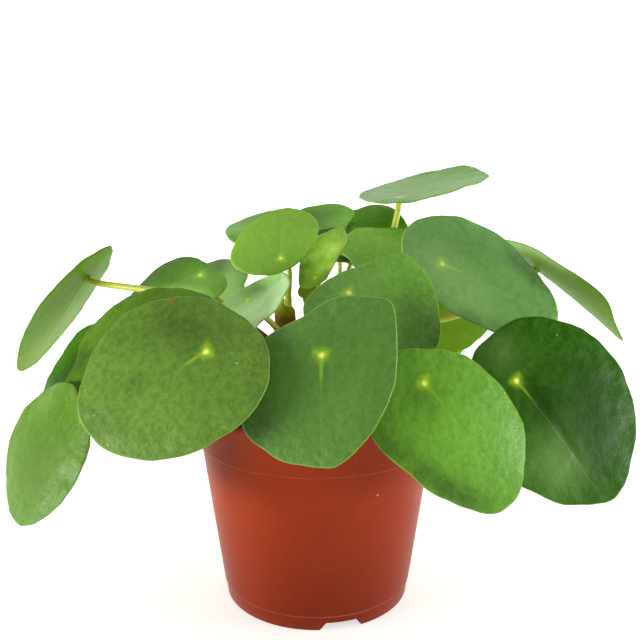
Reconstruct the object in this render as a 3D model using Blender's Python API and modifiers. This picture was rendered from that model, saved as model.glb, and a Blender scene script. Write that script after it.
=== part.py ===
"""Potted Chinese money plant (Pilea peperomioides) in a 12 cm plastic nursery pot.

Round leaf blades stand on long petioles that join the blade inside its margin, near the base edge.
The petioles spring from a short woody trunk, which stands in a hole in the soil of a tapered pot.

World axes: +Z up, -Y towards the front of the plant, origin on the pot's axis at floor level.
Lengths below are in millimetres and angles in degrees; MM turns a length into metres.
"""

import math

import bmesh
import bpy
from mathutils import Vector

MM = 0.001
GAP = 0.3                      # clearance between neighbouring pieces

# Pot: tapered wall, a collar below the rim, a floor raised inside a notched foot ring.
POT_HEIGHT = 96.0
RIM_RADIUS = 60.0
COLLAR_BOTTOM = 78.0           # height of the collar's lower edge
COLLAR_RADIUS = 57.1           # outer radius at the collar's lower edge
WALL_TOP_RADIUS = 56.1         # outer radius of the wall just under the collar
STEP_HEIGHT = 7.2              # height of the small step above the foot
STEP_RADIUS = 46.3
FOOT_RADIUS = 45.0
WALL = 1.3                     # wall thickness
FLOOR_HEIGHT = 4.6             # underside of the raised floor
POT_SEGMENTS = 60
NOTCH_WIDTH = 21.0             # drain notches through the foot ring
NOTCH_HEIGHT = 3.8
NOTCH_AZIMUTHS = (-74.0, 46.0, 166.0)
DRAIN_HOLES = 8
DRAIN_HOLE_RADIUS = 3.2
DRAIN_CIRCLE_RADIUS = 30.0

# Soil and trunk.
SOIL_HEIGHT = 86.0
TRUNK_FOOT = 62.0              # buried end of the trunk
TRUNK_TOP = 146.0
TRUNK_LEAN = -14.0             # sideways offset of the trunk above its bend
TRUNK_BEND = (72.0, 130.0)     # heights between which the trunk leans over
TRUNK_FOOT_RADIUS = 6.4
TRUNK_SHOULDER = 133.0         # height where the trunk begins to narrow to its growing tip
TRUNK_SHOULDER_RADIUS = 5.0
TRUNK_TIP_RADIUS = 1.6

# Leaves.
BLADE_THICKNESS = 0.8
PETIOLE_STEPS = 7
NECK = 2.0                     # straight end of the petiole, square to the blade
PETIOLE_TAPER = (1.15, 0.9)    # petiole radius at its root and at its blade, as shares of its own


def leaf(at, face, size, root, **shape):
    """One leaf: at is where the petiole meets the blade, face is the azimuth and elevation that the
    upper side looks to and the turn of the tip away from straight downhill, size is the blade's
    length and width, and root is the height on the trunk where the petiole starts."""
    return dict(at=at, face=face, size=size, root=root, **shape)


LEAVES = {
    # large outer leaves, from the left round the front to the right
    "left_under": leaf((-118.5, 26, 150.5), (165, 37, 4), (78, 54), 113, inset=0.28, fold=-8, arch=4,
                       push=(0, -15, 17)),
    "left_dark": leaf((-101, -20, 119), (-130, 35, -40), (66, 60), 103, inset=0.30, fold=12, arch=12),
    "left_low": leaf((-108.5, -60, 111), (-138, 29, 0), (60, 61), 97, inset=0.21, fold=10, arch=8, egg=0.04),
    "left_grey": leaf((-55.5, -56, 140), (-108, 45, -62), (80, 67), 116, inset=0.30, fold=12, arch=12,
                      skew=-0.2, rise=0.05, push=(0, 0, -6)),
    "front_left": leaf((-40, -95, 143), (-105, 33, -70), (78, 63), 106, inset=0.30, fold=12, arch=12,
                       side=-0.055, rise=0.05, push=(4, 0, -4)),
    "front_centre": leaf((2, -97, 142), (-97, 22, 2), (60, 56), 112, inset=0.35, fold=8, arch=10,
                         skew=-0.3, side=-0.03, egg=-0.12, rise=0.0, bow=0.2, drop=30),
    "front_right": leaf((41, -88, 129), (-75, 25, 37), (68, 52), 104, inset=0.18, fold=14, arch=14,
                        side=0.03, tip=0.21, push=(0, 0, -6)),
    "right_dark": leaf((81, -66, 124), (-72, 22, 35), (84, 77), 98, inset=0.24, fold=8, arch=10,
                       side=-0.12, tip=0.1),
    "right_big": leaf((56, -24, 166), (-70, 42, 60), (76, 60), 117, inset=0.26, fold=8, arch=8,
                      side=-0.1, rise=0.1),
    "far_right": leaf((110, 22, 158), (12, 53, -22), (80, 42), 111, inset=0.35, fold=-30, arch=8,
                      egg=0.12, tip=0.13),
    "right_under": leaf((63, 35, 129), (75, 30, 30), (58, 50), 105, inset=0.30, fold=8, arch=10),
    # middle ring
    "centre_back": leaf((13.5, -54, 158), (-78, 42, 35), (53, 74), 122, inset=0.19, fold=12, arch=12,
                        skew=-0.05, side=0.0, egg=-0.2, rise=0.05),
    "mid_left": leaf((-31, -25, 150), (-138, 48, -25), (47, 42), 121, inset=0.41, fold=-12, arch=-12,
                     side=-0.25, rise=0.45),
    "upper_left": leaf((-67, 22, 150), (-115, 50, -60), (55, 49), 120, inset=0.35, fold=14, arch=14,
                       rise=0.1),
    "upper_left_back": leaf((-51, 42, 139.5), (-82, 46, 170), (42, 34), 113, inset=0.35, fold=-10,
                            arch=8, rise=0.1),
    "umbrella": leaf((41, 30, 193), (-136, 77.8, 182), (70, 60), 119, inset=0.215, fold=-4, arch=-4,
                     tip=0.1, rise=0.05, bow=0.45, push=(-9, 9, 0)),
    "back_far_left": leaf((-24, 45, 177), (-100, 68, -90), (40, 40), 124, inset=0.40, fold=6, arch=8,
                          rise=0.0, push=(-2, 0, -4)),
    "back_centre": leaf((-5, 55, 176), (-125, 62, 90), (48, 46), 126, inset=0.40, fold=-6, arch=4,
                        rise=0.0, push=(4, 8, -6)),
    "back_right": leaf((21, 60, 173.5), (-95, 47, 90), (48, 48), 116, inset=0.40, fold=10, arch=12,
                       rise=0.0),
    "back_mid_right": leaf((28, -2, 162), (-90, 66, 175), (42, 42), 123, inset=0.20, fold=-8,
                           arch=-12, side=0.06, rise=0.0),
    "back_pale": leaf((11, 14, 166), (-90, 62, 180), (28, 40), 128, inset=0.30, fold=-8, arch=-8,
                      rise=0.0, push=(3, 0, -4)),
    # leaves at the rear
    "rear_left": leaf((-80, 66, 128), (128, 32, 10), (70, 64), 104, inset=0.30, fold=10, arch=10),
    "rear_right": leaf((70, 78, 124), (60, 30, -14), (72, 64), 99, inset=0.30, fold=10, arch=10,
                       push=(-12, 14, 0)),
    "rear_centre": leaf((28, 88, 120), (76, 34, 6), (64, 58), 108, inset=0.30, fold=10, arch=10),
    "rear_low": leaf((-40, 82, 98), (112, 26, 0), (52, 50), 101, inset=0.22, fold=10, arch=10,
                     bow=0.12, rise=0.25),
    # young leaves at the top of the trunk
    "young_top": leaf((-18.5, -25, 171.5), (-95, 35, 182), (34, 39), 141, inset=0.32, fold=6, arch=6,
                      skew=-0.25, rise=0.5, push=(3, 3, 3)),
    "young_fold": leaf((-1, -12, 158), (-120, 25, 162), (30, 20), 128, inset=0.12, fold=-40, arch=8,
                       side=-0.07, rise=0.0, drop=9),
    "young_tiny": leaf((-4, 1, 150), (-60, 35, 60), (12, 9), 130, inset=0.25, fold=-20, arch=8,
                       rise=0.0, drop=6),
}


def clear_scene():
    for item in list(bpy.data.objects):
        bpy.data.objects.remove(item)


def new_collection(name):
    group = bpy.data.collections.new(name)
    bpy.context.scene.collection.children.link(group)
    return group


def add_object(name, mesh, group):
    item = bpy.data.objects.new(name, mesh)
    group.objects.link(item)
    return item


def principled(name, colour, roughness):
    material = bpy.data.materials.new(name)
    material.use_nodes = True
    shader = material.node_tree.nodes["Principled BSDF"]
    shader.inputs["Base Color"].default_value = (*colour, 1.0)
    shader.inputs["Roughness"].default_value = roughness
    shader.inputs["Metallic"].default_value = 0.0
    return material


def finish(item, name, colour, roughness, angle=40.0):
    """Give the piece its own material and smooth shading with sharp edges kept."""
    item.data.materials.clear()
    item.data.materials.append(principled(name, colour, roughness))
    item.data.shade_smooth()
    item.data.set_sharp_from_angle(angle=math.radians(angle))


def evaluated_mesh(item):
    """The mesh of an object with its modifiers and its curve bevel worked out, doubles welded."""
    graph = bpy.context.evaluated_depsgraph_get()
    mesh = bpy.data.meshes.new_from_object(item.evaluated_get(graph))
    mesh.transform(item.matrix_world)
    shape = bmesh.new()
    shape.from_mesh(mesh)
    bmesh.ops.remove_doubles(shape, verts=shape.verts, dist=0.00001)
    shape.to_mesh(mesh)
    shape.free()
    return mesh


def apply_modifiers(item):
    mesh = evaluated_mesh(item)
    item.modifiers.clear()
    item.data = mesh


def boolean(item, other, operation):
    modifier = item.modifiers.new(operation.title(), "BOOLEAN")
    modifier.operation = operation
    modifier.solver = "EXACT"
    modifier.object = other
    apply_modifiers(item)


def make_cutter(item):
    item.hide_render = True
    item.display_type = "WIRE"
    return item


def turned(name, profile, segments, group):
    """A body turned about Z from (radius, height) points, both ends on the axis. The points run
    down its outer side."""
    mesh = bpy.data.meshes.new(name)
    points = [(radius * MM, 0.0, height * MM) for radius, height in profile]
    mesh.from_pydata(points, [(i, i + 1) for i in range(len(points) - 1)], [])
    item = add_object(name, mesh, group)
    screw = item.modifiers.new("Screw", "SCREW")
    screw.axis = "Z"
    screw.angle = math.tau
    screw.steps = segments
    screw.render_steps = segments
    screw.use_merge_vertices = True
    screw.merge_threshold = 0.00001
    apply_modifiers(item)
    return item


def rod(name, points, radii, resolution, group):
    """A round rod with flat ends through the points (mm), with a radius (mm) at each of them."""
    curve = bpy.data.curves.new(name, "CURVE")
    curve.dimensions = "3D"
    curve.bevel_depth = MM
    curve.bevel_resolution = resolution
    curve.use_fill_caps = True
    spline = curve.splines.new("POLY")
    spline.points.add(len(points) - 1)
    for spot, place, radius in zip(spline.points, points, radii):
        spot.co = (*(place * MM), 1.0)
        spot.radius = radius
    line = bpy.data.objects.new(name + "_line", curve)
    group.objects.link(line)
    mesh = evaluated_mesh(line)
    bpy.data.objects.remove(line)
    return add_object(name, mesh, group)


# ---- pot and soil ----

def wall_radius(height):
    """Outer radius of the pot at a height, from the foot to the rim."""
    stations = ((0.0, FOOT_RADIUS), (STEP_HEIGHT, STEP_RADIUS), (COLLAR_BOTTOM, WALL_TOP_RADIUS),
                (COLLAR_BOTTOM + 0.4, COLLAR_RADIUS), (POT_HEIGHT, RIM_RADIUS))
    for (low, r_low), (high, r_high) in zip(stations, stations[1:]):
        if height <= high:
            return r_low + (r_high - r_low) * (height - low) / (high - low)
    return RIM_RADIUS


def pot_profile():
    floor_top = FLOOR_HEIGHT + WALL
    inner = [(0.0, floor_top), (wall_radius(floor_top) - WALL - 0.8, floor_top),
             (wall_radius(floor_top + 2.0) - WALL, floor_top + 2.0),
             (WALL_TOP_RADIUS - WALL, COLLAR_BOTTOM + 0.5),
             (COLLAR_RADIUS - WALL + 0.1, COLLAR_BOTTOM + 1.8),
             (RIM_RADIUS - WALL - 0.3, POT_HEIGHT - 1.6)]
    rim = [(RIM_RADIUS - WALL, POT_HEIGHT - 0.2), (RIM_RADIUS - 0.6, POT_HEIGHT),
           (RIM_RADIUS, POT_HEIGHT - 0.5), (RIM_RADIUS + 0.1, POT_HEIGHT - 2.2),
           (wall_radius(POT_HEIGHT - 3.0), POT_HEIGHT - 3.0)]
    outer = [(COLLAR_RADIUS, COLLAR_BOTTOM + 0.4), (WALL_TOP_RADIUS, COLLAR_BOTTOM),
             (STEP_RADIUS, STEP_HEIGHT), (STEP_RADIUS - 0.5, STEP_HEIGHT - 0.4), (FOOT_RADIUS, 0.0)]
    foot = [(FOOT_RADIUS - WALL, 0.0), (FOOT_RADIUS - WALL + 0.3, FLOOR_HEIGHT - 0.6),
            (FOOT_RADIUS - WALL - 0.6, FLOOR_HEIGHT), (0.0, FLOOR_HEIGHT)]
    return inner + rim + outer + foot


def build_pot(parts, cutters):
    pot = turned("pot", pot_profile(), POT_SEGMENTS, parts)
    for azimuth in NOTCH_AZIMUTHS:
        notch = bmesh.new()
        bmesh.ops.create_cube(notch, size=1.0)
        for vert in notch.verts:
            narrow = 0.86 if vert.co.z > 0 else 1.0
            vert.co.x *= 12.0 * MM
            vert.co.y *= NOTCH_WIDTH * narrow * MM
            vert.co.z = (NOTCH_HEIGHT if vert.co.z > 0 else -2.0) * MM
        mesh = bpy.data.meshes.new("notch")
        notch.to_mesh(mesh)
        notch.free()
        cutter = make_cutter(add_object("notch", mesh, cutters))
        turn = math.radians(azimuth)
        cutter.location = (FOOT_RADIUS * math.cos(turn) * MM, FOOT_RADIUS * math.sin(turn) * MM, 0.0)
        cutter.rotation_euler = (0.0, 0.0, turn)
        bpy.context.view_layer.update()
        boolean(pot, cutter, "DIFFERENCE")
        bpy.data.objects.remove(cutter)
    for index in range(DRAIN_HOLES):
        turn = math.tau * (index + 0.5) / DRAIN_HOLES
        hole = bmesh.new()
        bmesh.ops.create_cone(hole, cap_ends=True, segments=12, radius1=DRAIN_HOLE_RADIUS * MM,
                              radius2=DRAIN_HOLE_RADIUS * MM, depth=8.0 * MM)
        mesh = bpy.data.meshes.new("drain")
        hole.to_mesh(mesh)
        hole.free()
        cutter = make_cutter(add_object("drain", mesh, cutters))
        cutter.location = (DRAIN_CIRCLE_RADIUS * math.cos(turn) * MM,
                           DRAIN_CIRCLE_RADIUS * math.sin(turn) * MM, (FLOOR_HEIGHT + 0.6) * MM)
        bpy.context.view_layer.update()
        boolean(pot, cutter, "DIFFERENCE")
        bpy.data.objects.remove(cutter)
    finish(pot, "terracotta_plastic", (0.45, 0.09, 0.045), 0.42)
    return pot


def build_soil(parts, trunk_hole):
    floor_top = FLOOR_HEIGHT + WALL + GAP
    side = WALL + GAP + 0.2
    profile = [(0.0, SOIL_HEIGHT + 1.2), (16.0, SOIL_HEIGHT + 0.9), (34.0, SOIL_HEIGHT + 0.2),
               (50.0, SOIL_HEIGHT - 0.3), (wall_radius(SOIL_HEIGHT - 1.0) - side, SOIL_HEIGHT - 1.0),
               (COLLAR_RADIUS - side, COLLAR_BOTTOM + 2.4), (WALL_TOP_RADIUS - side, COLLAR_BOTTOM + 0.7),
               (wall_radius(floor_top + 2.2) - side, floor_top + 2.2),
               (wall_radius(floor_top) - side - 0.9, floor_top), (0.0, floor_top)]
    soil = turned("soil", profile, 40, parts)
    boolean(soil, trunk_hole, "DIFFERENCE")
    finish(soil, "potting_soil", (0.035, 0.022, 0.014), 0.95)
    return soil


# ---- trunk ----

def smooth_step(value):
    value = min(max(value, 0.0), 1.0)
    return value * value * (3.0 - 2.0 * value)


def trunk_axis(height):
    low, high = TRUNK_BEND
    return Vector((TRUNK_LEAN * smooth_step((height - low) / (high - low)), 0.0, height))


def trunk_radius(height):
    share = (height - TRUNK_FOOT) / (TRUNK_SHOULDER - TRUNK_FOOT)
    below = TRUNK_FOOT_RADIUS + (TRUNK_SHOULDER_RADIUS - TRUNK_FOOT_RADIUS) * min(share, 1.0)
    taper = smooth_step((height - TRUNK_SHOULDER) / (TRUNK_TOP - TRUNK_SHOULDER))
    return below + (TRUNK_TIP_RADIUS - TRUNK_SHOULDER_RADIUS) * taper


def trunk_rod(name, foot, top, extra, group):
    heights = [foot + (top - foot) * i / 9 for i in range(10)]
    points = [trunk_axis(height) for height in heights]
    radii = [trunk_radius(height) + extra for height in heights]
    return rod(name, points, radii, 3, group)


# ---- leaves ----

def leaf_frame(face):
    """Unit vectors of a blade: towards its tip, across it and out of its upper side."""
    azimuth, elevation, turn = (math.radians(angle) for angle in face)
    normal = Vector((math.cos(azimuth) * math.cos(elevation), math.sin(azimuth) * math.cos(elevation),
                     math.sin(elevation)))
    downhill = Vector((math.cos(azimuth) * math.sin(elevation),
                       math.sin(azimuth) * math.sin(elevation), -math.cos(elevation)))
    tip = downhill * math.cos(turn) + normal.cross(downhill) * math.sin(turn)
    return tip, normal.cross(tip), normal


def blade_point(spec, u, v):
    """A point of the blade's upper side, for u (base -1 to tip 1) and v (edge to edge) in the unit
    disc. The sides fold down by fold degrees at the margin, base and tip by arch degrees."""
    length, width = spec["size"]
    angle = math.atan2(v, u)
    reach = math.hypot(u, v)
    point = 1.0 + spec.get("tip", 0.04) * math.exp(-(angle / 0.35) ** 2) * reach ** 2
    along = (0.5 - spec.get("inset", 0.3)) * length + 0.5 * length * u * point
    across = 0.5 * width * v * (1.0 + spec.get("egg", 0.0) * u)
    along += spec.get("skew", 0.0) * across
    across -= spec.get("side", 0.0) * width
    height = spec.get("wave", 0.8) * reach ** 3 * math.sin(3.0 * angle + spec.get("phase", 0.6))
    fold = math.radians(spec.get("fold", 10.0)) / (0.5 * width)
    arch = math.radians(spec.get("arch", 10.0)) / (0.5 * length)
    sideways = (1.0 / fold + height) * math.sin(fold * across)
    height = (1.0 / fold + height) * math.cos(fold * across) - 1.0 / fold
    forward = (1.0 / arch + height) * math.sin(arch * along)
    height = (1.0 / arch + height) * math.cos(arch * along) - 1.0 / arch
    tip, cross, normal = leaf_frame(spec["face"])
    return Vector(spec["at"]) + tip * forward + cross * sideways + normal * height


def disc_point(x, y):
    """Square to disc: keeps the grid's rows and makes its outline round."""
    return x * math.sqrt(1.0 - y * y / 2.0), y * math.sqrt(1.0 - x * x / 2.0)


def build_blade(name, spec, group):
    cells = 8 if min(spec["size"]) > 45 else 6
    grid = bmesh.new()
    bmesh.ops.create_grid(grid, x_segments=cells, y_segments=cells, size=1.0)
    for vert in grid.verts:
        vert.co.x, vert.co.y = disc_point(vert.co.x, vert.co.y)
    bmesh.ops.triangulate(grid, faces=grid.faces, quad_method="BEAUTY")
    for vert in grid.verts:
        vert.co = blade_point(spec, vert.co.x, vert.co.y) * MM
    mesh = bpy.data.meshes.new(name)
    grid.to_mesh(mesh)
    grid.free()
    blade = add_object(name, mesh, group)
    solidify = blade.modifiers.new("Solidify", "SOLIDIFY")
    solidify.thickness = BLADE_THICKNESS * MM
    solidify.offset = -1.0
    apply_modifiers(blade)
    return blade


def petiole_points(spec):
    """From the trunk's axis out and up, then into the blade's underside along its normal."""
    start = trunk_axis(spec["root"])
    normal = leaf_frame(spec["face"])[2]
    end = Vector(spec["at"]) - normal * (0.5 * BLADE_THICKNESS)
    outward = Vector((end.x - start.x, end.y - start.y, 0.0)).normalized()
    reach = (end - start).length
    neck = end - normal * NECK
    push = Vector(spec.get("push", (0.0, 0.0, 0.0)))
    up = Vector((0.0, 0.0, spec.get("rise", 0.22)))
    first = start + (outward * 0.3 + up) * reach + push
    second = neck - normal * spec.get("bow", 0.3) * reach + push
    second.z -= spec.get("drop", 0.0)
    points = []
    for index in range(PETIOLE_STEPS + 1):
        t = index / PETIOLE_STEPS
        s = 1.0 - t
        points.append(start * s ** 3 + first * 3 * s * s * t + second * 3 * s * t * t + neck * t ** 3)
    return points + [end]


def petiole_radius(spec):
    return 0.85 + 0.011 * spec["size"][0]


def build_leaf(name, spec, parts, cutters, trunk_cutter):
    blade = build_blade(name, spec, parts)
    points = petiole_points(spec)
    thick, thin = PETIOLE_TAPER
    radii = [petiole_radius(spec) * (thick + (thin - thick) * i / PETIOLE_STEPS)
             for i in range(PETIOLE_STEPS + 2)]
    petiole = rod(name + "_petiole", points, radii, 1, cutters)
    boolean(petiole, trunk_cutter, "DIFFERENCE")
    boolean(blade, petiole, "UNION")
    bpy.data.objects.remove(petiole)
    young = name.startswith("leaf_young")
    finish(blade, name + "_green", (0.16, 0.36, 0.05) if young else (0.075, 0.23, 0.035), 0.38)
    return blade


def main():
    clear_scene()
    parts = new_collection("potted_chinese_money_plant")
    cutters = new_collection("cutters")
    build_pot(parts, cutters)
    trunk = trunk_rod("trunk", TRUNK_FOOT, TRUNK_TOP, 0.0, parts)
    finish(trunk, "trunk_bark", (0.16, 0.13, 0.05), 0.75)
    hole = make_cutter(trunk_rod("trunk_hole", TRUNK_FOOT - GAP, TRUNK_TOP + GAP, GAP, cutters))
    build_soil(parts, hole)
    for name, spec in LEAVES.items():
        build_leaf("leaf_" + name, spec, parts, cutters, hole)
    bpy.data.objects.remove(hole)


main()
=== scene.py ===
"""Looks of the potted Chinese money plant: fine leaves, trunk, potting mix and nursery pot."""

import math
import random

import bmesh
import bpy
import numpy as np
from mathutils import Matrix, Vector, noise


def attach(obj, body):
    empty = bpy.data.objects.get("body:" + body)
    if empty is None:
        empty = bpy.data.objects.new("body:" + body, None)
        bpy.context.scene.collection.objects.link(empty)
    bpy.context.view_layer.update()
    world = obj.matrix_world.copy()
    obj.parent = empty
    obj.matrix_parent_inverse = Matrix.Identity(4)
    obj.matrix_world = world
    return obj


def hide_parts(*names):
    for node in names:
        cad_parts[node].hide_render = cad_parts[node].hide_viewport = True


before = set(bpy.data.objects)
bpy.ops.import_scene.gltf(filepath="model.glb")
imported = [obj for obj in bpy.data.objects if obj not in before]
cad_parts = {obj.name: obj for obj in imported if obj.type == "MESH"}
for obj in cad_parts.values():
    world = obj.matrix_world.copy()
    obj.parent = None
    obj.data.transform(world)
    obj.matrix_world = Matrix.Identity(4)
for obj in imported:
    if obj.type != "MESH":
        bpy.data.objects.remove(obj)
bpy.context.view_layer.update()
MM = 0.001


# ---- sizes (millimetres and degrees) ----

# The trunk, the potting mix, and the thickness and necks of the leaves, as in the solids.
TRUNK_TOP = 146.0
TRUNK_FOOT = 62.0
TRUNK_LEAN = -14.0
TRUNK_BEND = (72.0, 130.0)
TRUNK_FOOT_RADIUS = 6.4
TRUNK_SHOULDER = 133.0
TRUNK_SHOULDER_RADIUS = 5.0
TRUNK_TIP_RADIUS = 1.6
BLADE = 0.8
NECK = 2.0
SOIL = 86.0

# The pot, as in the solid, but for a rim 2.4 mm higher and 0.25 mm further out, and notches that are
# turned by 1.4 degrees.
POT_HEIGHT = 98.4
RIM_RADIUS = 60.25
COLLAR_BOTTOM = 78.0
COLLAR_RADIUS = 57.1
WALL_TOP_RADIUS = 56.1
STEP_HEIGHT = 7.2
STEP_RADIUS = 46.3
FOOT_RADIUS = 45.0
WALL = 1.3
FLOOR_HEIGHT = 4.6
NOTCH_AZIMUTHS = (-75.4, 44.6, 164.6)
NOTCH_WIDTH = 21.0
NOTCH_HEIGHT = 3.8
DRAIN_HOLES = 8
DRAIN_HOLE_RADIUS = 3.2
DRAIN_CIRCLE_RADIUS = 30.0

# How finely the pieces are made.
STALK_STEPS = 30
STALK_SIDES = 12
TRUNK_SIDES = 40
TRUNK_ROWS = 110
SOIL_SIDES = 150
SOIL_RINGS = 46
POT_SIDES = 192

# How far out the potting mix goes, and how many crumbs are tried on it.
SOIL_RADIUS = 55.7
CRUMBS = 520


def leaf(at, face, size, root, look, **shape):
    """One leaf: where its stalk meets the blade, the azimuth and elevation that its upper side looks to
    and the turn of its tip, its length and width, where its stalk starts on the trunk, and its look."""
    return dict(at=at, face=face, size=size, root=root, look=look, **shape)


# The numbers are the solids', but for the four leaves with a comment. Of the shape, inset is how far the
# stalk stands in from the blade's base, fold and arch are how far the blade bends across and along,
# tip, egg, skew and side change its outline, and rise, push, bow and drop lead its stalk. spot moves the
# pale spot and the stalk with it, veer turns the veins, and streak is how strong the spot's tail is.
# What a row leaves out is as in the functions below, such as an inset of 0.3 and a fold of 10.
LEAVES = {
    # its stalk is pushed up 1 mm more than the solid's
    "left_under": leaf((-118.5, 26, 150.5), (165, 37, 4), (78, 54), 113, "light", inset=0.28, fold=-8,
        arch=4, push=(0, -15, 18), spot=(-2.5, 0)),
    "left_dark": leaf((-101, -20, 119), (-130, 35, -40), (66, 60), 103, "deep", fold=12, arch=12),
    "left_low": leaf((-108.5, -60, 111), (-138, 29, 0), (60, 61), 97, "grey", inset=0.21, arch=8,
        egg=0.04, spot=(-3, 23), streak=0.0),
    "left_grey": leaf((-55.5, -56, 140), (-108, 45, -62), (80, 67), 116, "grey", fold=12, arch=12,
        skew=-0.2, rise=0.05, push=(0, 0, -6)),
    "front_left": leaf((-40, -95, 143), (-105, 33, -70), (78, 63), 106, "warm", fold=12, arch=12,
        side=-0.055, rise=0.05, push=(4, 0, -4), veer=18),
    "front_centre": leaf((2, -97, 142), (-97, 22, 2), (60, 56), 112, "mid", inset=0.35, fold=8, skew=-0.3,
        side=-0.03, egg=-0.12, rise=0.0, bow=0.2, drop=30),
    "front_right": leaf((41, -88, 129), (-75, 25, 37), (68, 52), 104, "fair", inset=0.18, fold=14,
        arch=14, side=0.03, tip=0.21, push=(0, 0, -6), streak=0.35),
    "right_dark": leaf((81, -66, 124), (-72, 22, 35), (84, 77), 98, "dark", inset=0.24, fold=8,
        side=-0.12, tip=0.1),
    "right_big": leaf((56, -24, 166), (-70, 42, 60), (76, 60), 117, "soft", inset=0.26, fold=8, arch=8,
        side=-0.1, rise=0.1),
    "far_right": leaf((110, 22, 158), (12, 53, -22), (80, 42), 111, "grey", inset=0.35, fold=-30, arch=8,
        egg=0.12, tip=0.13),
    "right_under": leaf((63, 35, 129), (75, 30, 30), (58, 50), 105, "light", fold=8),
    "centre_back": leaf((13.5, -54, 158), (-78, 42, 35), (53, 74), 122, "rough", inset=0.19, fold=12,
        arch=12, skew=-0.05, egg=-0.2, rise=0.05),
    "mid_left": leaf((-31, -25, 150), (-138, 48, -25), (47, 42), 121, "pale", inset=0.41, fold=-12,
        arch=-12, side=-0.25, rise=0.45, streak=0.4),
    "upper_left": leaf((-67, 22, 150), (-115, 50, -60), (55, 49), 120, "fair", inset=0.35, fold=14,
        arch=14, rise=0.1, spot=(-9, -3), streak=0.2),
    "upper_left_back": leaf((-51, 42, 139.5), (-82, 46, 170), (42, 34), 113, "pale", inset=0.35, fold=-10,
        arch=8, rise=0.1),
    # tilted, turned and a little larger than the solid
    "umbrella": leaf((41, 30, 193), (-142, 79.8, 188), (74, 63), 119, "silver", inset=0.215, fold=-4,
        arch=-4, tip=0.1, rise=0.05, bow=0.45, push=(-9, 9, 0)),
    "back_far_left": leaf((-24, 45, 177), (-100, 68, -90), (40, 40), 124, "silver", inset=0.4, fold=6,
        arch=8, rise=0.0, push=(-2, 0, -4)),
    "back_centre": leaf((-5, 55, 176), (-125, 62, 90), (48, 46), 126, "silver", inset=0.4, fold=-6,
        arch=4, rise=0.0, push=(4, 8, -6)),
    "back_right": leaf((21, 60, 173.5), (-95, 47, 90), (48, 48), 116, "fair", inset=0.4, arch=12,
        rise=0.0),
    "back_mid_right": leaf((28, -2, 162), (-90, 66, 175), (42, 42), 123, "bright", inset=0.2, fold=-8,
        arch=-12, side=0.06, rise=0.0),
    "back_pale": leaf((11, 14, 166), (-90, 62, 180), (28, 40), 128, "deep", fold=-8, arch=-8, rise=0.0,
        push=(3, 0, -4)),
    "rear_left": leaf((-80, 66, 128), (128, 32, 10), (70, 64), 104, "mid"),
    # moved 5 mm, tilted and a little smaller than the solid
    "rear_right": leaf((67, 80, 128), (60, 40, -14), (70, 62), 99, "dark", inset=0.33, push=(-12, 14, 0)),
    "rear_centre": leaf((28, 88, 120), (76, 34, 6), (64, 58), 108, "mid"),
    "rear_low": leaf((-40, 82, 98), (112, 26, 0), (52, 50), 101, "mid", inset=0.22, bow=0.12, rise=0.25),
    "young_top": leaf((-18.5, -25, 171.5), (-95, 35, 182), (34, 39), 141, "young", inset=0.32, fold=6,
        arch=6, skew=-0.25, rise=0.5, push=(3, 3, 3), spot=(-3.2, -2.7), streak=0.1),
    "young_fold": leaf((-1, -12, 158), (-120, 25, 162), (30, 20), 128, "fresh", inset=0.12, fold=-40,
        arch=8, side=-0.07, rise=0.0, drop=9),
    # moved 2 mm and larger than the solid, and its stalk starts lower on the trunk
    "young_tiny": leaf((-5.2, 0, 149.5), (-60, 35, 60), (15, 11), 118, "olive", inset=0.25, fold=-20,
        arch=8, rise=0.0, drop=8, push=(6, 4, 0)),
}


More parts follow.
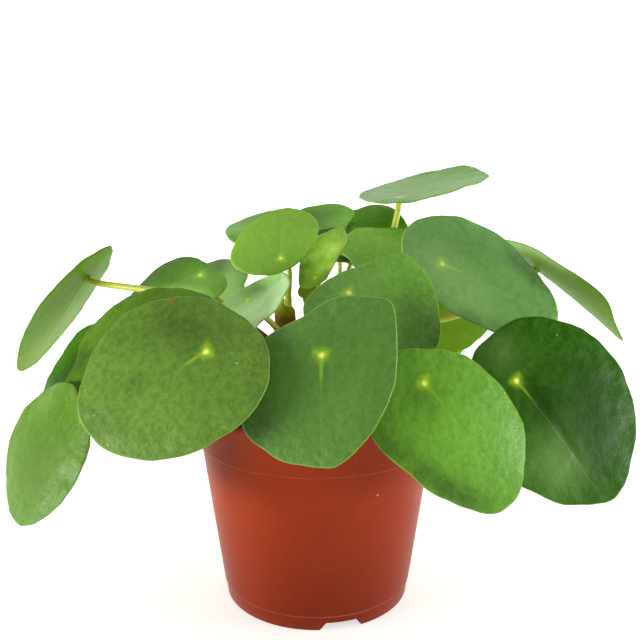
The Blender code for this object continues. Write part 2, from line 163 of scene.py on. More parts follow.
# How each margin in view departs from its plain outline: (degrees from the tip, spread, share).
TRIMS = {
    "front_left": ((300, 28, 0.095), (215, 30, -0.09), (250, 16, -0.02), (135, 22, 0.045), (38, 16, 0.02),
        (272, 26, -0.025), (112, 14, -0.015)),
    "left_low": ((225, 30, -0.11), (185, 18, -0.03), (315, 35, 0.05), (110, 22, 0.12), (15, 20, 0.02)),
    "left_under": ((312, 34, -0.27), (350, 15, -0.05), (130, 28, -0.07), (22, 12, 0.05), (180, 15, 0.06),
        (214, 16, -0.07), (75, 30, 0.03)),
    "left_dark": ((250, 20, 0.05), (292, 28, -0.05)),
    "left_grey": ((255, 30, 0.06), (335, 22, -0.13)),
    "upper_left": ((160, 22, 0.15), (213, 20, -0.09), (312, 22, -0.1), (245, 16, -0.03)),
    "upper_left_back": ((350, 15, 0.05), (284, 20, -0.3)),
    "young_top": ((15, 25, -0.09), (60, 20, -0.04), (110, 25, 0.04), (255, 20, -0.03)),
    "mid_left": ((256, 18, -0.07), (106, 16, -0.1), (205, 18, 0.12), (165, 22, 0.06), (125, 12, 0.08),
        (98, 14, -0.2)),
    "back_far_left": ((300, 20, -0.06),),
    "back_centre": ((10, 30, -0.25),),
    "back_right": ((110, 28, -0.28), (60, 15, 0.08)),
    "back_mid_right": ((5, 28, -0.2), (120, 20, -0.14)),
    "back_pale": ((180, 30, -0.15),),
    "young_fold": ((285, 22, -0.2), (44, 34, -0.16), (240, 14, 0.14), (168, 22, 0.24), (5, 14, 0.05)),
    "right_big": ((50, 25, -0.12), (24, 13, -0.06), (345, 15, 0.09), (170, 20, 0.035)),
    "far_right": ((0, 12, -0.05), (298, 15, 0.1), (262, 14, -0.08), (232, 14, 0.07)),
    "right_dark": ((204, 18, 0.065), (130, 30, -0.09), (60, 50, -0.02), (52, 18, 0.04), (350, 8, 0.02),
        (298, 18, -0.06)),
    "front_right": ((235, 22, 0.22), (65, 30, 0.125), (175, 15, 0.1), (120, 12, 0.02), (2, 12, -0.05),
        (338, 10, 0.03), (306, 16, -0.05), (276, 18, -0.04)),
    "front_centre": ((285, 20, 0.17), (318, 16, 0.035), (15, 28, 0.045), (95, 22, -0.085),
        (350, 14, -0.035), (135, 11, 0.075), (197, 14, -0.07), (225, 10, 0.06)),
    "centre_back": ((155, 18, -0.085), (120, 10, 0.05), (197, 14, 0.07), (218, 12, -0.08),
        (35, 15, 0.04)),
    "right_under": ((228, 14, 0.25), (277, 18, -0.22)),
    "rear_right": ((310, 45, -0.2), (342, 30, -0.25)),
    "umbrella": ((195, 30, -0.1), (35, 20, -0.03)),
}

# Painted light on a blade: soft patches of painted shade and shadow, of painted lightening where a darkness
# is negative, and of painted sheen: (degrees from the tip, share of the way out, spread, how dark, how
# pale).
SHADE_AND_SHEEN = {
    "front_left": ((262, 0.75, 0.36, 0.5, 0), (222, 0.6, 0.3, 0.3, 0), (305, 0.85, 0.22, 0.3, 0),
        (20, 0.85, 0.2, 0.25, 0), (0, 0.35, 0.12, 0.3, 0), (70, 0.6, 0.4, -0.1, 0)),
    "right_dark": ((66, 0.45, 0.5, 0.4, 0), (225, 0.25, 0.2, 0.4, 0), (305, 0.65, 0.36, -0.3, 0.6),
        (335, 0.55, 0.16, 0, 0.3), (192, 0.85, 0.26, 0, 0.5), (0, 0.6, 0.3, 0.3, 0)),
    "front_right": ((250, 0.9, 0.18, 0.7, 0), (275, 0.88, 0.17, 0.9, 0), (298, 0.86, 0.17, 1.0, 0),
        (318, 0.86, 0.16, 0.9, 0), (336, 0.88, 0.14, 0.6, 0), (0, 0.1, 0.5, -0.2, 0),
        (190, 0.55, 0.2, 0.25, 0)),
    "front_centre": ((288, 0.9, 0.24, 0.7, 0), (30, 0.5, 0.4, -0.1, 0.05), (190, 0.5, 0.4, 0.12, 0)),
    "right_big": ((48, 0.92, 0.26, 1.1, 0), (24, 0.95, 0.22, 0.8, 0), (215, 0.55, 0.4, 0, 0.8),
        (272, 0.65, 0.34, 0, 0.7), (120, 0.5, 0.4, 0.15, 0)),
    "upper_left": ((255, 0.9, 0.35, 0.2, 0), (160, 0.6, 0.5, -0.4, 0.9), (90, 0.3, 0.4, -0.2, 0.6)),
    "left_low": ((212, 0.78, 0.3, 0, 0.5), (30, 0.2, 0.7, 0.15, 0)),
    "left_dark": ((60, 0.8, 0.4, 0.5, 0), (320, 0.5, 0.4, 0.5, 0), (250, 0.3, 0.4, 0.4, 0)),
    "left_grey": ((335, 0.95, 0.24, 0.9, 0), (250, 0.8, 0.4, 0.25, 0)),
    "centre_back": ((60, 0.7, 0.45, 0.6, 0), (20, 0.8, 0.4, 0.6, 0), (170, 0.7, 0.3, 0, 0.2)),
    "mid_left": ((242, 0.6, 0.4, -1.0, 0.2), (225, 0.3, 0.3, -0.5, 0), (300, 0.5, 0.4, -0.5, 0.2),
        (120, 0.5, 0.35, -0.3, 0), (180, 0.85, 0.3, 0.15, 0)),
    "upper_left_back": ((30, 0.95, 0.45, 1.6, 0), (290, 0.5, 0.6, -0.9, 0.4)),
    "back_far_left": ((300, 0.8, 0.4, 0.4, 0), (15, 0.8, 0.4, -0.2, 0.9)),
    "back_centre": ((90, 0.6, 0.4, 0.3, 0), (30, 0.5, 0.3, 0, 0.3)),
    "back_mid_right": ((330, 0.4, 0.4, 0, 0.3), (180, 0.6, 0.3, 0, 0.3)),
    "young_fold": ((150, 0.9, 0.35, 0.3, 0), (300, 0.5, 0.5, -0.35, 0.4), (30, 0.5, 0.4, -0.2, 0)),
    "umbrella": ((300, 0.6, 0.3, 0, 0.7), (150, 0.8, 0.3, 0, 0.8)),
    "far_right": ((225, 0.95, 0.2, -0.2, 1.4), (245, 0.98, 0.18, -0.2, 1.4), (262, 1.0, 0.14, -0.2, 1.2),
        (230, 0.5, 0.3, 0.3, 0), (280, 0.6, 0.4, 0.2, 0)),
    "left_under": ((95, 0.6, 0.4, 0.15, 0), (150, 0.5, 0.34, 0.25, 0), (300, 0.6, 0.45, 0, 0.9),
        (0, 0.7, 0.4, 0, 0.6)),
}

# Folds in a blade, sunk into it and darkened with painted shade: points (degrees, share of the way out),
# then width and depth in millimetres.
CREASES = {
    "front_left": (((200, 0.42), (230, 0.3), (258, 0.345), (290, 0.42), (310, 0.52), (324, 0.64)),
        0.5, 0.08),
    "right_dark": (((196, 0.42), (225, 0.27), (270, 0.18), (320, 0.3), (335, 0.5)), 1.8, 0.25),
}

# The pairs of veins beside the midrib: (degrees from it at the spot, how far they bend towards it, how
# strong they show, how deep they lie in millimetres).
VEINS = ((46.0, 20.0, 0.3, 0.15), (100.0, 34.0, 0.2, 0.1))

# The nick in the margin of the large front leaf: millimetres ahead of its spot, and to the side.
NICK = (1.6, 28.0)


# ---- helpers ----

def srgb(red, green, blue):
    """A display colour (0 to 255) as linear light."""
    return tuple(((c / 255 + 0.055) / 1.055) ** 2.4 if c > 10 else c / 3294.6
                 for c in (red, green, blue)) + (1.0,)


def smooth_step(low, high, value):
    share = np.clip((value - low) / (high - low), 0.0, 1.0)
    return share * share * (3.0 - 2.0 * share)


def new_object(name, data):
    item = bpy.data.objects.new(name, data)
    bpy.context.scene.collection.objects.link(item)
    return item


def add_piece(name, verts, faces, materials, places=None):
    """A mesh piece from points in millimetres; places gives each face's material."""
    mesh = bpy.data.meshes.new(name)
    mesh.from_pydata([tuple(v) for v in np.asarray(verts) * MM], [], faces)
    for material in materials:
        mesh.materials.append(material)
    if places is not None:
        mesh.polygons.foreach_set("material_index", places)
    mesh.shade_smooth()
    return new_object(name, mesh)


def finish_piece(piece, slot, *nodes):
    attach(piece, "root")
    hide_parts(*nodes)


def store(piece, name, values):
    """Keeps three numbers for each point of a piece."""
    attribute = piece.data.attributes.new(name, "FLOAT_VECTOR", "POINT")
    attribute.data.foreach_set("vector", values.astype(np.float32).ravel())


def between(first, second, share):
    return tuple((1.0 - share) * a + share * b for a, b in zip(first, second))


class Tree:
    """Short names for adding and joining shader nodes."""

    def __init__(self, tree):
        self.tree = tree

    def add(self, kind, settings=None, **inputs):
        node = self.tree.nodes.new(kind)
        for key, value in (settings or {}).items():
            setattr(node, key, value)
        for key, value in inputs.items():
            self.put(node.inputs[key.replace("_", " ")], value)
        return node

    def put(self, socket, value):
        if isinstance(value, bpy.types.NodeSocket):
            self.tree.links.new(value, socket)
        elif value is not None:
            socket.default_value = value

    def math(self, operation, *values, clamp=False):
        node = self.add("ShaderNodeMath", {"operation": operation, "use_clamp": clamp})
        for socket, value in zip(node.inputs, values):
            self.put(socket, value)
        return node.outputs[0]

    def times(self, first, second):
        return self.math("MULTIPLY", first, second)

    def plus(self, first, second):
        return self.math("ADD", first, second)

    def minus(self, first, second):
        return self.math("SUBTRACT", first, second)

    def absolute(self, value):
        return self.math("ABSOLUTE", value)

    def step(self, value, low, high, start=0.0, end=1.0):
        """start below low, end above high, and smooth between them."""
        node = self.add("ShaderNodeMapRange", {"interpolation_type": "SMOOTHSTEP"})
        for socket, number in zip(node.inputs, (value, low, high, start, end)):
            self.put(socket, number)
        return node.outputs[0]

    def noise(self, vector, scale, detail=3.0, rough=0.55):
        node = self.add("ShaderNodeTexNoise", Vector=vector, Scale=scale, Detail=detail, Roughness=rough)
        return node.outputs[0]

    def mix(self, share, first, second, blend="MIX"):
        node = self.add("ShaderNodeMix", {"data_type": "RGBA", "blend_type": blend})
        self.put(node.inputs[0], share)
        self.put(node.inputs[6], first)
        self.put(node.inputs[7], second)
        return node.outputs[2]

    def vector(self, x, y, z):
        return self.add("ShaderNodeCombineXYZ", X=x, Y=y, Z=z).outputs[0]

    def split(self, vector):
        return self.add("ShaderNodeSeparateXYZ", Vector=vector).outputs

    def stored(self, name):
        """The three numbers that are kept for each point under a name."""
        return self.split(self.add("ShaderNodeAttribute", {"attribute_name": name}).outputs["Vector"])

    def place(self):
        return self.add("ShaderNodeTexCoord").outputs["Object"]

    def specks(self, vector, scale, rarity, low, high):
        """Round dots that end between low and high, in cells whose chance is over rarity."""
        cells = self.add("ShaderNodeTexVoronoi", Vector=vector, Scale=scale)
        chance = self.add("ShaderNodeSeparateColor", Color=cells.outputs["Color"]).outputs[0]
        dots = self.step(cells.outputs["Distance"], low, high, 1.0, 0.0)
        return self.times(dots, self.step(chance, rarity, rarity + 0.02))


def new_material(name, roughness, specular=0.5):
    material = bpy.data.materials.new(name)
    material.use_nodes = True
    shader = material.node_tree.nodes["Principled BSDF"]
    shader.inputs["Roughness"].default_value = roughness
    shader.inputs["Specular IOR Level"].default_value = specular
    return material, Tree(material.node_tree), shader


def dress(t, shader, colour, strength, depth, height):
    """Joins a colour and a relief to the shader; depth is in metres."""
    t.put(shader.inputs["Base Color"], colour)
    bump = t.add("ShaderNodeBump", Strength=strength, Distance=depth, Height=height)
    t.put(shader.inputs["Normal"], bump.outputs[0])


# ---- leaf surface ----

# main green, darker green, yellower blotches, underside, then how strong the veins, the wrinkles and
# the gloss are
LOOKS = {
    "mid": ((81, 121, 47), (69, 107, 41), (91, 131, 42), (130, 174, 56), 0.15, 0.6, 0.18),
    "warm": ((89, 122, 44), (71, 102, 36), (113, 139, 38), (130, 174, 56), 0.08, 0.5, 0.08),
    "fair": ((93, 141, 42), (76, 124, 36), (112, 152, 36), (130, 174, 56), 0.08, 0.5, 0.08),
    "dark": ((43, 86, 8), (33, 70, 7), (56, 99, 10), (118, 162, 50), 0.34, 0.42, 0.03),
    "deep": ((54, 99, 12), (44, 84, 10), (68, 110, 12), (118, 162, 46), 0.15, 0.6, 0.16),
    # a lighter copy of the leaf green: painted light on a blade that lies in shade
    "bright": ((118, 168, 54), (102, 152, 46), (130, 180, 60), (134, 176, 60), 0.15, 0.5, 0.18),
    "grey": ((78, 114, 20), (66, 101, 17), (88, 126, 19), (112, 158, 48), 0.15, 0.4, 0.12),
    # a lighter copy of the leaf green: painted light and sheen on blades that face upwards or lie in shade
    "silver": ((97, 149, 32), (85, 135, 28), (107, 159, 32), (134, 176, 60), 0.15, 0.5, 0.18),
    "soft": ((94, 139, 67), (82, 125, 59), (103, 149, 61), (130, 174, 56), 0.15, 0.5, 0.18),
    "rough": ((98, 146, 50), (82, 128, 40), (112, 156, 46), (130, 174, 56), 0.1, 0.9, 0.18),
    # a pale copy of the leaf green: painted sheen, and painted light on blades that lie in shade
    "pale": ((161, 198, 126), (150, 187, 116), (167, 202, 124), (146, 184, 84), 0.15, 0.4, 0.18),
    # its bright underside is painted light shining through the blade
    "light": ((76, 134, 2), (68, 122, 2), (92, 150, 2), (116, 166, 12), 0.08, 0.3, 0.14),
    "young": ((114, 159, 44), (104, 149, 39), (126, 169, 47), (148, 190, 44), 0.12, 0.4, 0.18),
    "fresh": ((151, 189, 70), (129, 169, 56), (163, 201, 76), (148, 190, 44), 0.12, 0.4, 0.18),
    # made lighter: painted light on a small blade in shade
    "olive": ((116, 138, 16), (98, 120, 12), (128, 150, 20), (126, 142, 20), 0.1, 0.5, 0.14),
}


def leaf_pattern():
    """Where a blade's spot, veins, blotches, wrinkles and rim lie, from its own coordinates:
    leaf_place is (along, across, share of the way out), leaf_facts is (length, seed, upper side)."""
    group = bpy.data.node_groups.new("leaf_pattern", "ShaderNodeTree")
    names = ("Spot", "Halo", "Vein", "Blotch", "Shade", "Speck", "Rim", "Height", "Upper")
    for name in names:
        group.interface.new_socket(name, in_out="OUTPUT", socket_type="NodeSocketFloat")
    t = Tree(group)
    along, across, reach = t.stored("leaf_place")
    length, seed, upper = t.stored("leaf_facts")
    tail = t.stored("leaf_shade_sheen_tail")[2]
    flat = t.vector(along, across, t.times(seed, 37.0))
    wide = t.absolute(across)
    radius = t.math("SQRT", t.plus(t.times(along, along), t.times(across, across)))
    angle = t.math("ARCTAN2", wide, along)
    share = t.math("DIVIDE", radius, length)
    small = t.math("MAXIMUM", t.math("DIVIDE", 45.0, length), 1.0)
    # pale spot where the petiole joins, with a glow and a short streak along the midrib
    ragged = t.plus(t.times(radius, small), t.times(t.noise(flat, 0.9, 2.0), 1.2))
    grown = t.step(length, 14.0, 24.0)
    spot = t.times(t.step(ragged, 0.8, 2.3, 1.0, 0.0), grown)
    rays = t.times(t.absolute(t.math("SINE", t.times(angle, 1.5))), 1.2)
    glow = t.step(t.plus(ragged, rays), 1.6, 6.0, 1.0, 0.0)
    streak = t.times(t.step(wide, 0.2, 1.0, 1.0, 0.0), t.step(along, 4.0, 13.0, 1.0, 0.0))
    streak = t.times(streak, t.step(along, -0.5, 1.0))
    halo = t.times(t.math("MAXIMUM", glow, t.times(streak, tail)), grown)
    # midrib and two pairs of veins that leave the spot and arch towards the tip
    sway = t.times(t.minus(t.noise(flat, 0.16, 2.0), 0.5), 1.8)
    midrib = t.absolute(t.plus(across, t.times(sway, share)))
    lines = t.times(t.step(midrib, 0.15, 0.75, 1.0, 0.0), t.step(along, 0.0, 2.0))
    lines = t.times(lines, t.step(share, 0.35, 0.95, 1.0, 0.0))
    for start, bend, strength, _ in VEINS:
        aim = t.minus(math.radians(start), t.times(share, math.radians(bend)))
        off = t.absolute(t.plus(t.times(t.minus(angle, aim), radius), sway))
        line = t.times(t.step(off, 0.1, 0.9, strength, 0.0), t.step(share, 0.3, 0.85, 1.0, 0.0))
        lines = t.math("MAXIMUM", lines, line)
    # blotches, shade and specks
    blotch = t.step(t.noise(flat, 0.3, 5.0, 0.7), 0.5, 0.68)
    blotch = t.times(blotch, t.step(t.noise(flat, 0.9, 3.0, 0.65), 0.35, 0.65))
    shade = t.step(t.noise(flat, 0.38, 5.0, 0.7), 0.38, 0.64)
    speck = t.specks(flat, 0.14, 0.8, 0.02, 0.07)
    # rim, within a millimetre of the margin
    inward = t.times(t.minus(1.0, reach), t.times(length, 0.6))
    rim = t.step(inward, 0.25, 0.75, 1.0, 0.0)
    # relief: wrinkles that run out to the margin, and small puckers
    outward = t.vector(t.times(angle, t.times(length, 0.5)), t.times(radius, 0.35), seed)
    ripple = t.noise(outward, 0.45, 3.0, 0.6)
    pucker = t.noise(flat, 0.34, 3.0, 0.6)
    near = t.step(reach, 0.35, 1.0, 0.3, 1.0)
    height = t.times(t.plus(t.times(ripple, 0.1), pucker), near)
    height = t.plus(height, t.times(t.noise(flat, 1.6, 2.0), 0.12))
    out = t.add("NodeGroupOutput")
    for name, socket in zip(names, (spot, halo, lines, blotch, shade, speck, rim, height, upper)):
        t.put(out.inputs[name], socket)
    return group


def leaf_material(look, pattern):
    """A blade's material. Each point keeps (painted shade, painted sheen, how strong the spot's tail is).
    """
    main, deep, yellow, under = (srgb(*colour) for colour in LOOKS[look][:4])
    veins, wrinkles, gloss = LOOKS[look][4:]
    material, t, shader = new_material("leaf_" + look, 0.44, gloss)
    node = t.add("ShaderNodeGroup", {"node_tree": pattern})
    mask = {socket.name: socket for socket in node.outputs}
    # painted shade and painted sheen, read from the blade's points
    dark, pale, _ = t.stored("leaf_shade_sheen_tail")
    painted_sheen = t.math("MULTIPLY", pale, 0.55, clamp=True)
    # the upper side, paled towards a grey-green by painted sheen
    colour = t.mix(t.times(mask["Shade"], 0.75), main, deep)
    colour = t.mix(t.times(mask["Blotch"], 0.6), colour, yellow)
    colour = t.mix(t.times(mask["Vein"], 0.45 * veins), colour, between(yellow, srgb(176, 200, 120), 0.45))
    colour = t.mix(t.times(mask["Halo"], 0.7), colour, srgb(156, 196, 36))
    colour = t.mix(mask["Spot"], colour, srgb(226, 228, 112))
    colour = t.mix(painted_sheen, colour, between(main, srgb(166, 196, 120), 0.4))
    # the underside, paled by painted sheen
    below = t.mix(mask["Blotch"], under, tuple(0.85 * c for c in under[:3]) + (1.0,))
    below = t.mix(t.times(mask["Vein"], 0.3), below, srgb(168, 196, 96))
    below = t.mix(painted_sheen, below, srgb(176, 208, 134))
    # both sides, then painted shade, mottled by the relief, and painted lightening where the shade is
    # negative
    colour = t.mix(mask["Upper"], below, colour)
    darkness = t.times(dark, t.step(mask["Height"], 0.1, 0.8, 1.5, 0.6))
    dim = t.mix(t.step(darkness, -1.0, 1.0, 0.0, 1.0), (1.5, 1.5, 1.5, 1.0), (0.5, 0.5, 0.5, 1.0))
    colour = t.mix(1.0, colour, dim, "MULTIPLY")
    colour = t.mix(t.times(mask["Speck"], 0.7), colour, srgb(176, 186, 120))
    colour = t.mix(t.times(mask["Rim"], 0.28), colour, srgb(146, 180, 66))
    if look == "warm":
        # the small red-brown nick in the upper margin of the large front leaf
        along, across, _ = t.stored("leaf_place")
        away = t.plus(t.absolute(t.minus(along, NICK[0])), t.absolute(t.plus(across, NICK[1])))
        colour = t.mix(t.step(away, 0.7, 1.6, 0.85, 0.0), colour, srgb(150, 52, 26))
    dress(t, shader, colour, wrinkles, 0.0009, t.minus(mask["Height"], t.times(mask["Vein"], 0.35 * veins)))
    t.put(shader.inputs["Roughness"], t.step(mask["Shade"], 0.0, 1.0, 0.46, 0.38))
    return material


def stalk_material(name, foot, middle):
    """Green stalks, yellower towards the blade and browner at the trunk; leaf_place.x runs 0 to 1."""
    material, t, shader = new_material(name, 0.4, 0.35)
    way = t.stored("leaf_place")[0]
    streaks = t.noise(t.place(), 420.0, 3.0)
    colour = t.mix(t.step(way, 0.1, 0.5), srgb(*foot), srgb(*middle))
    colour = t.mix(t.step(way, 0.35, 0.9), colour, srgb(174, 182, 58))
    colour = t.mix(t.step(streaks, 0.45, 0.7, 0.0, 0.25), colour, srgb(124, 122, 46))
    dress(t, shader, colour, 0.3, 0.0003, streaks)
    return material


# ---- leaf shape ----

def leaf_frame(face):
    azimuth, elevation, turn = (math.radians(angle) for angle in face)
    normal = Vector((math.cos(azimuth) * math.cos(elevation), math.sin(azimuth) * math.cos(elevation),
                     math.sin(elevation)))
    downhill = Vector((math.cos(azimuth) * math.sin(elevation),
                       math.sin(azimuth) * math.sin(elevation), -math.cos(elevation)))
    tip = downhill * math.cos(turn) + normal.cross(downhill) * math.sin(turn)
    return tip, normal.cross(tip), normal


def blade_points(spec, u, v, lift=0.0):
    """Points of the blade's upper side for arrays u and v in the unit disc, raised by lift, with
    their flat coordinates along and across."""
    length, width = spec["size"]
    angle = np.arctan2(v, u)
    reach = np.hypot(u, v)
    point = 1.0 + spec.get("tip", 0.04) * np.exp(-(angle / 0.35) ** 2) * reach ** 2
    along = (0.5 - spec.get("inset", 0.3)) * length + 0.5 * length * u * point
    across = 0.5 * width * v * (1.0 + spec.get("egg", 0.0) * u)
    along = along + spec.get("skew", 0.0) * across
    across = across - spec.get("side", 0.0) * width
    height = 0.8 * reach ** 3 * np.sin(3.0 * angle + 0.6) + lift
    fold = math.radians(spec.get("fold", 10.0)) / (0.5 * width)
    arch = math.radians(spec.get("arch", 10.0)) / (0.5 * length)
    sideways = (1.0 / fold + height) * np.sin(fold * across)
    height = (1.0 / fold + height) * np.cos(fold * across) - 1.0 / fold
    forward = (1.0 / arch + height) * np.sin(arch * along)
    height = (1.0 / arch + height) * np.cos(arch * along) - 1.0 / arch
    tip, cross, normal = (np.array(axis) for axis in leaf_frame(spec["face"]))
    points = (np.array(spec["at"], float) + forward[:, None] * tip + sideways[:, None] * cross
              + height[:, None] * normal)
    return points, along, across


def vein_sink(spec, along, across):
    """How deep the upper side dips over its veins and at its spot, in millimetres."""
    length = spec["size"][0]
    strength = 0.3 + 0.7 * LOOKS[spec["look"]][4]
    radius = np.hypot(along, across)
    angle = np.arctan2(np.abs(across), along)
    share = radius / length
    fade = 1.0 - smooth_step(0.35, 0.9, share)
    sink = 0.3 * np.exp(-(across / 1.7) ** 2) * smooth_step(-1.0, 3.0, along) * fade
    for start, bend, _, depth in VEINS:
        off = (angle - math.radians(start) + share * math.radians(bend)) * radius
        sink = np.maximum(sink, depth * np.exp(-(off / 1.6) ** 2) * fade)
    dimple = 0.006 * min(length, 58.0) * np.exp(-(radius / 2.2) ** 2)
    return strength * sink * smooth_step(0.0, 6.0, radius) + dimple


def disc_point(angle, out):
    return out * math.cos(math.radians(angle)), out * math.sin(math.radians(angle))


def shade_sheen_and_creases(spec, u, v):
    """Painted shade, painted sheen and crease depth at each point of a blade, from its place in the unit
    disc.
    """
    dark, pale = np.zeros_like(u), np.zeros_like(u)
    for angle, out, spread, darker, painted_sheen in SHADE_AND_SHEEN.get(spec["name"], ()):
        x, y = disc_point(angle, out)
        near = np.exp(-((u - x) ** 2 + (v - y) ** 2) / spread ** 2)
        dark += darker * near
        pale += painted_sheen * near
    crease = np.zeros_like(u)
    points, width, depth = CREASES.get(spec["name"], ((), 1.0, 0.0))
    half = np.array(spec["size"]) / 2.0
    spots = [np.array(disc_point(*point)) * half for point in points]
    for start, end in zip(spots, spots[1:]):
        line = end - start
        way = ((u * half[0] - start[0]) * line[0] + (v * half[1] - start[1]) * line[1]) / (line @ line)
        way = np.clip(way, 0.0, 1.0)
        off = np.hypot(u * half[0] - start[0] - way * line[0], v * half[1] - start[1] - way * line[1])
        crease = np.maximum(crease, np.exp(-(off / width) ** 2))
    # the creases also darken the blade with painted shade
    return dark + 0.2 * crease, pale, crease * depth


def blade_mesh(spec, seed):
    """The blade as rings of points, upper side first, and what its materials read."""
    big = min(spec["size"]) > 45
    around, rings = (132, 30) if big else (96, 22)
    shifts = [random.uniform(0.0, math.tau) for _ in range(4)]
    turn = np.arange(around) * math.tau / around
    outline = 1.0 + sum(size * np.sin(count * turn + shift) for count, size, shift in
                        zip((5, 8, 13, 21), (0.003, 0.003, 0.003, 0.002), shifts))
    for middle, spread, amount in spec["trim"]:
        off = (np.degrees(turn) - middle + 180.0) % 360.0 - 180.0
        outline += amount * np.exp(-(off / spread) ** 2)
    steps = 1.0 - (1.0 - np.arange(1, rings + 1) / rings) ** 1.25
    reach = np.repeat(steps, around)
    edge = np.tile(outline, rings)
    angle = np.tile(turn, rings)
    u = np.concatenate(([0.0], reach * edge * np.cos(angle)))
    v = np.concatenate(([0.0], reach * edge * np.sin(angle)))
    reach = np.concatenate(([0.0], reach))
    _, along, across = blade_points(spec, u, v)
    spot, veer = spec.get("spot", (0.0, 0.0)), math.radians(spec.get("veer", 0.0))
    ahead = (along - spot[0]) * math.cos(veer) + (across - spot[1]) * math.sin(veer)
    aside = (across - spot[1]) * math.cos(veer) - (along - spot[0]) * math.sin(veer)
    angle = np.concatenate(([0.0], angle))
    # painted shade and painted sheen of each point, and how deep its creases lie
    dark, pale, crease = shade_sheen_and_creases(spec, reach * np.cos(angle), reach * np.sin(angle))
    lumps = np.array([noise.noise(Vector((a / 9.0, b / 9.0, seed * 7.3)))
                      + 0.5 * noise.noise(Vector((a / 4.0, b / 4.0, seed * 3.1)))
                      for a, b in zip(along, across)])
    lift = lumps * (0.12 + 0.5 * reach ** 3) * min(spec["size"]) / 60.0
    top, _, _ = blade_points(spec, u, v, lift - vein_sink(spec, ahead, aside) - crease)
    over, _, _ = blade_points(spec, u, v, lift + 1.0)
    base, _, _ = blade_points(spec, u, v, lift)
    normal = over - base
    normal /= np.linalg.norm(normal, axis=1)[:, None]
    margin = np.clip((1.0 - reach) * 0.5 * min(spec["size"]) / (0.5 * BLADE), 0.0, 1.0)
    round_off = np.sqrt(1.0 - (1.0 - margin) ** 2)
    rib = 0.25 * np.exp(-(aside / 1.1) ** 2) * smooth_step(-1.0, 2.0, ahead)
    rib *= 1.0 - smooth_step(0.2, 0.8, np.hypot(ahead, aside) / spec["size"][0])
    upper = top - normal * (0.5 * BLADE * (1.0 - round_off))[:, None]
    lower = base - normal * (0.5 * BLADE * (1.0 + round_off) + rib)[:, None]
    count = len(u)
    last = count - around
    verts = np.concatenate((upper, lower[:last]))
    faces = []

    def ring(index, side):
        """First point of a ring; the outermost ring belongs to both sides."""
        start = 1 + index * around
        return start if side == 0 or index == rings - 1 else start + count

    for side in (0, 1):
        for k in range(around):
            n = (k + 1) % around
            middle = 0 if side == 0 else count
            fan = (middle, ring(0, side) + k, ring(0, side) + n)
            faces.append(fan if side == 0 else fan[::-1])
            for index in range(rings - 1):
                a, b = ring(index, side), ring(index + 1, side)
                quad = (a + k, b + k, b + n, a + n)
                faces.append(quad if side == 0 else quad[::-1])
    places = np.stack((ahead, aside, reach), 1)
    places = np.concatenate((places, places[:last]))
    upper_side = np.concatenate((np.ones(count), np.zeros(last)))
    # painted shade, painted sheen and how strong the spot's tail is, kept for the materials
    shade_sheen_tail = np.stack((dark, pale, np.full_like(dark, spec.get("streak", 0.6))), 1)
    shade_sheen_tail = np.concatenate((shade_sheen_tail, shade_sheen_tail[:last]))
    return verts, faces, places, upper_side, shade_sheen_tail


def trunk_axis(height):
    low, high = TRUNK_BEND
    return Vector((TRUNK_LEAN * float(smooth_step(low, high, height)), 0.0, height))


def trunk_radius(height):
    """The radius of the trunk's solid, which the stalks grow from."""
    share = (height - TRUNK_FOOT) / (TRUNK_SHOULDER - TRUNK_FOOT)
    below = TRUNK_FOOT_RADIUS + (TRUNK_SHOULDER_RADIUS - TRUNK_FOOT_RADIUS) * min(share, 1.0)
    taper = float(smooth_step(TRUNK_SHOULDER, TRUNK_TOP, height))
    return below + (TRUNK_TIP_RADIUS - TRUNK_SHOULDER_RADIUS) * taper


def bark_radius(height):
    """The trunk as it is seen: broad almost to its top, then rounded off."""
    return trunk_radius(min(height, TRUNK_SHOULDER)) - 3.2 * float(smooth_step(139.0, TRUNK_TOP, height))


def stalk_points(spec, steps):
    """The stalk's line, from the trunk's axis into the blade's underside."""
    start = trunk_axis(spec["root"])
    tip, cross, normal = leaf_frame(spec["face"])
    spot = spec.get("spot", (0.0, 0.0))
    length, width = spec["size"]
    fall = (math.radians(spec.get("arch", 10.0)) * spot[0] ** 2 / length
            + math.radians(spec.get("fold", 10.0)) * spot[1] ** 2 / width)
    end = Vector(spec["at"]) + tip * spot[0] + cross * spot[1] - normal * (0.85 * BLADE + fall)
    outward = Vector((end.x - start.x, end.y - start.y, 0.0)).normalized()
    reach = (end - start).length
    neck = end - normal * NECK
    push = Vector(spec.get("push", (0.0, 0.0, 0.0)))
    up = Vector((0.0, 0.0, spec.get("rise", 0.22)))
    first = start + (outward * 0.3 + up) * reach + push
    second = neck - normal * spec.get("bow", 0.3) * reach + push
    second.z -= spec.get("drop", 0.0)
    points = []
    for index in range(steps + 1):
        t = index / steps
        s = 1.0 - t
        points.append(start * s ** 3 + first * 3 * s * s * t + second * 3 * s * t * t + neck * t ** 3)
    return points + [end]


def skin(sides, rows):
    """The faces of a closed tube, from rows of points in order."""
    faces = []
    for row in range(rows - 1):
        a, b = row * sides, (row + 1) * sides
        for k in range(sides):
            n = (k + 1) % sides
            faces.append((a + k, a + n, b + n, b + k))
    faces.append(tuple(reversed(range(sides))))
    faces.append(tuple(range((rows - 1) * sides, rows * sides)))
    return faces


def tube(points, radii, sides):
    """A closed round tube through points, kept free of twist."""
    verts = []
    across = None
    for index, place in enumerate(points):
        ahead = points[min(index + 1, len(points) - 1)]
        behind = points[max(index - 1, 0)]
        line = (ahead - behind).normalized()
        if across is None:
            across = line.orthogonal().normalized()
        across = (across - line * across.dot(line)).normalized()
        other = line.cross(across)
        for k in range(sides):
            turn = math.tau * k / sides
            verts.append(place + (across * math.cos(turn) + other * math.sin(turn)) * radii[index])
    return verts, skin(sides, len(points))


